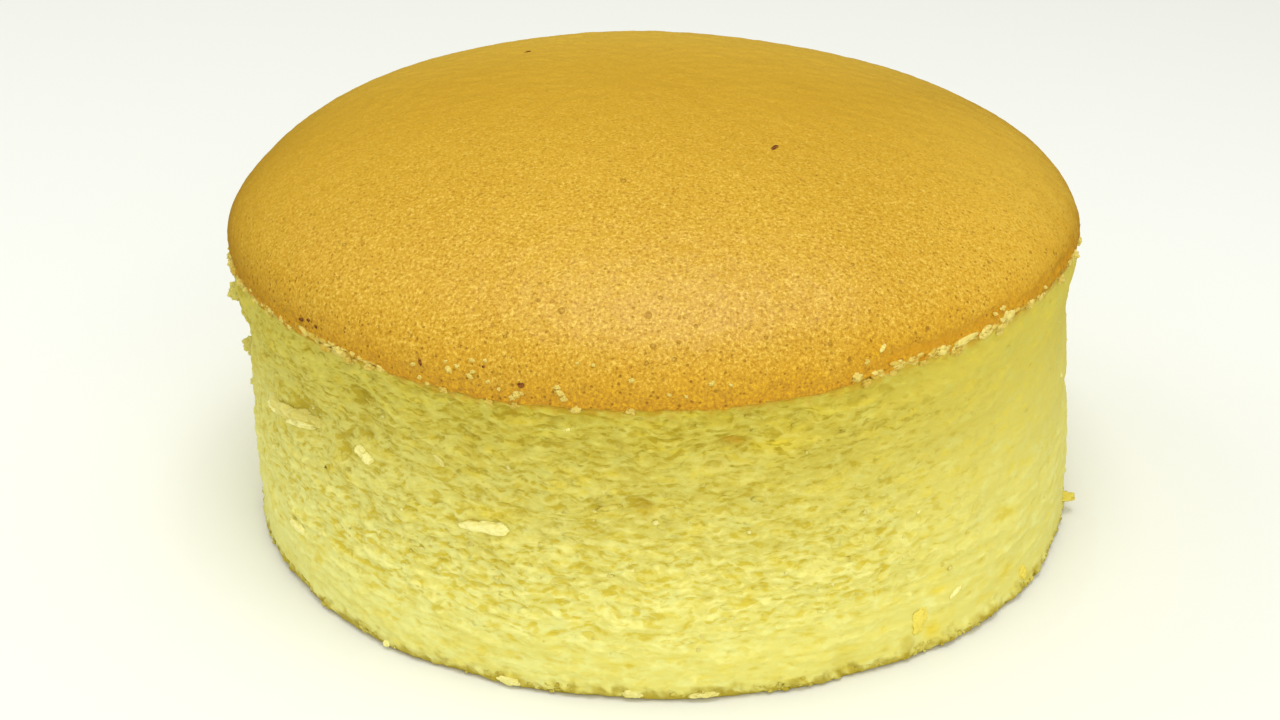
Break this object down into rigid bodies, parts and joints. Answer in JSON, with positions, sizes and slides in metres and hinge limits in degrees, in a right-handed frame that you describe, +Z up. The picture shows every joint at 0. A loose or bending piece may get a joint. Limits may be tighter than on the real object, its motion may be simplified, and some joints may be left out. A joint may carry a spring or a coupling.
{
  "type": "cotton sponge cake",
  "caption": "Tall uncut round sponge cake with a smooth browned dome, a rounded crust edge over torn pale sides, and a flat underside.",
  "frame": {"origin": "middle of the cake's outline, on the surface that it stands on", "axes": "+Z up through the domed crust, -Y towards the front of the cake, +X to its right as seen from the front"},
  "size_m": [0.1844, 0.1828, 0.0942],
  "materials": {
    "sponge": "matte torn crumb",
    "crust": "smooth baked skin with a soft sheen"
  },
  "bodies": {
    "root": {"cake": "sponge"}
  },
  "joints": []
}
